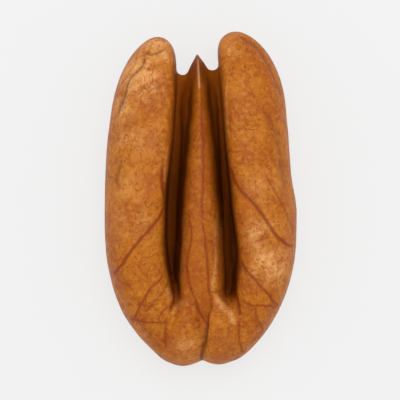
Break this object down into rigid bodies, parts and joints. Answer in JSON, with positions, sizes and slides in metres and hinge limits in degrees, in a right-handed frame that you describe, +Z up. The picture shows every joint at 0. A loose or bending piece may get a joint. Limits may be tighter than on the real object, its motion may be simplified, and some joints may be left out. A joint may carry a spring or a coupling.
{
  "type": "shelled pecan half",
  "caption": "Shelled pecan kernel half lying on its flat inner face, with long rounded lobes, deep grooves beside a central ridge and an open notch at one end.",
  "frame": {"origin": "under the middle of the kernel's bounding box, on the surface it lies on", "axes": "+Y along the kernel to the notched end, +X to the right seen from above, +Z up through the ridged outer side"},
  "size_m": [0.0184, 0.032, 0.009],
  "materials": {
    "seed_coat": "satin, finely wrinkled, with darker veins"
  },
  "bodies": {
    "root": {"pecan_half": "seed_coat"}
  },
  "joints": []
}
